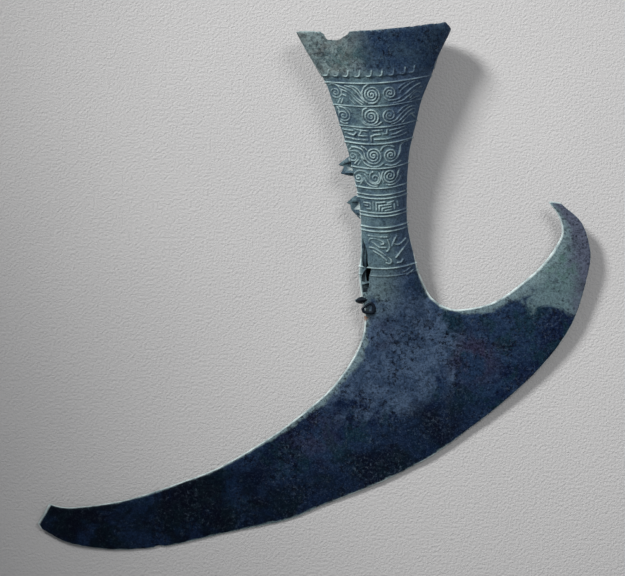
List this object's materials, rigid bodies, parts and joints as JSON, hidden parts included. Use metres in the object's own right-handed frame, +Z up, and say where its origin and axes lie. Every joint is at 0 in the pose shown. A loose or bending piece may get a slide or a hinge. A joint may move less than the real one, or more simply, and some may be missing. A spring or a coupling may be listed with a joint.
{
  "type": "ceremonial axe head",
  "caption": "Socketed bronze axe head: a flared hollow socket with bands of raised spirals, on a crescent blade that ends in a raised horn.",
  "frame": {"origin": "on the floor, under the middle of the lying axe's outline", "axes": "+X across the blade, towards the horn; +Y along the socket, towards its mouth; +Z up, out of the ornamented face"},
  "size_m": [0.4412, 0.4212, 0.0441],
  "materials": {
    "bronze": "dark blue-green patina, pitted, semi-matte"
  },
  "bodies": {
    "root": {"bronze_axe": "bronze"}
  },
  "joints": []
}
